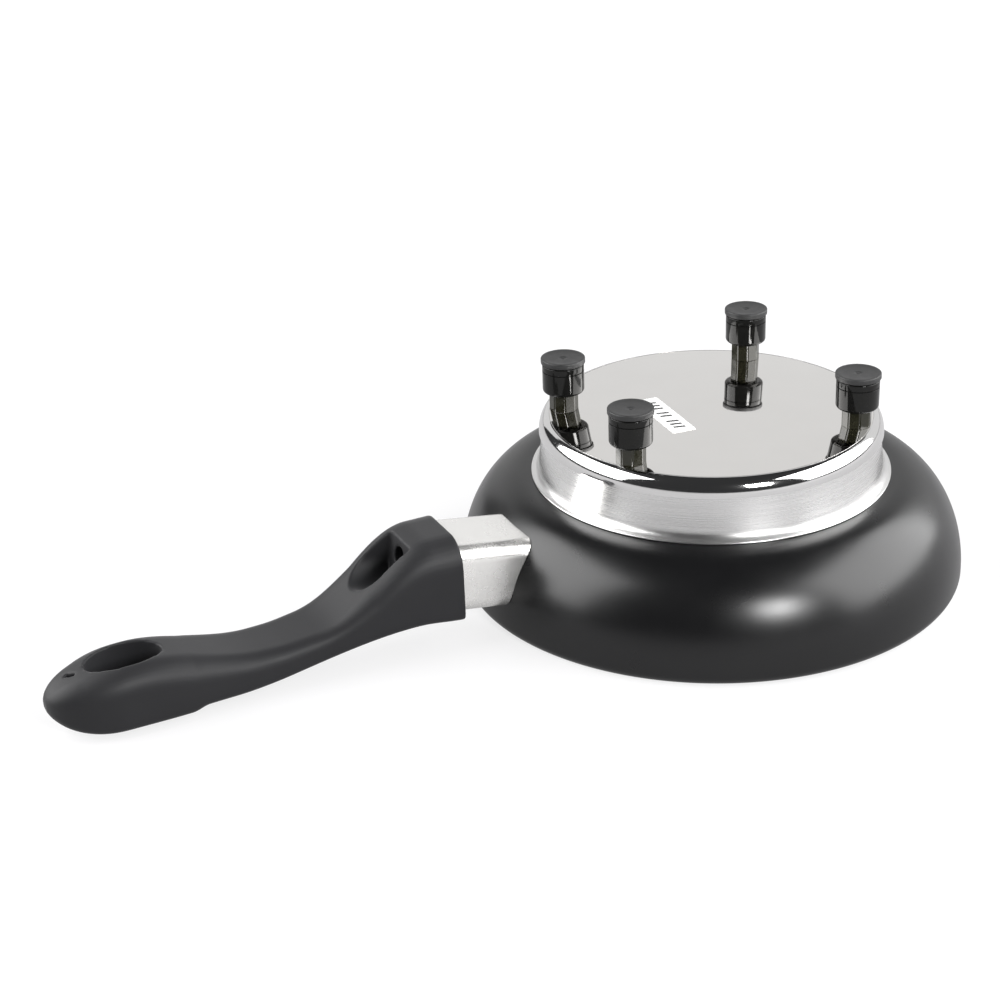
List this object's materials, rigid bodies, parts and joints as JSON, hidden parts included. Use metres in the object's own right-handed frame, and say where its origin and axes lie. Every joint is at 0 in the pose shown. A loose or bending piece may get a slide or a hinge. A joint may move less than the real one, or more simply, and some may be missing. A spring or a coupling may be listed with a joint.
{
  "type": "electric frying pan",
  "caption": "Round low-sided electric frying pan with a heated base ring on short feet, shown rim down, and a straight handle with a moulded grip and hanging hole.",
  "frame": {"origin": "the pan's axis at the plane of its rim, which is the plane it rests on as stored", "axes": "+Z along the pan's axis from the rim towards the feet, so the pan is stored upside down as pictured; -X from the axis along the handle; to stand it on its feet, turn it half round about X"},
  "size_m": [0.3885, 0.2084, 0.0926],
  "materials": {
    "pan_coating": "satin black heat-proof coating",
    "spun_aluminium": "spun and lightly brushed round",
    "polished_steel": "mirror polished",
    "white_sticker": "plain white film",
    "gloss_black": "glossy moulded phenolic",
    "matt_black": "fine matt moulding",
    "screw_steel": "zinc plated",
    "post_aluminium": "turned, bare",
    "mica": "pressed mica sheet",
    "heater_foil": "etched resistance foil",
    "fibre_pad": "felted ceramic fibre",
    "clamp_steel": "zinc plated pressing",
    "cutout_can": "phenolic and plated steel",
    "inlet_plastic": "moulded, fine texture",
    "pin_metal": "nickel plated brass",
    "lead_sleeve": "glass fibre sleeving",
    "bright_sheet": "bright plated sheet",
    "grip_plastic": "soft satin charcoal"
  },
  "bodies": {
    "root": {"pan_body": "pan_coating", "base_ring": "spun_aluminium", "bottom_plate": "polished_steel", "sticker": "white_sticker", "foot_body_1": "gloss_black", "foot_body_2": "gloss_black", "foot_body_3": "gloss_black", "foot_body_4": "gloss_black", "foot_cap_1": "matt_black", "foot_cap_2": "matt_black", "foot_cap_3": "matt_black", "foot_cap_4": "matt_black", "foot_screws": "screw_steel", "base_posts": "post_aluminium", "inner_mica": "mica", "heating_element": "heater_foil", "outer_mica": "mica", "insulation_pad": "fibre_pad", "clamp_plate": "clamp_steel", "centre_stud": "screw_steel", "stud_washer": "screw_steel", "stud_nut": "screw_steel", "thermal_cutout": "cutout_can", "inlet_housing": "inlet_plastic", "inlet_pins": "pin_metal", "supply_lead": "lead_sleeve", "cutout_lead": "lead_sleeve", "element_lead": "lead_sleeve", "handle_bracket": "clamp_steel", "bracket_rivets": "post_aluminium", "flame_sleeve": "bright_sheet", "handle_grip": "grip_plastic", "screw_washer": "screw_steel", "handle_screw": "screw_steel"}
  },
  "joints": []
}
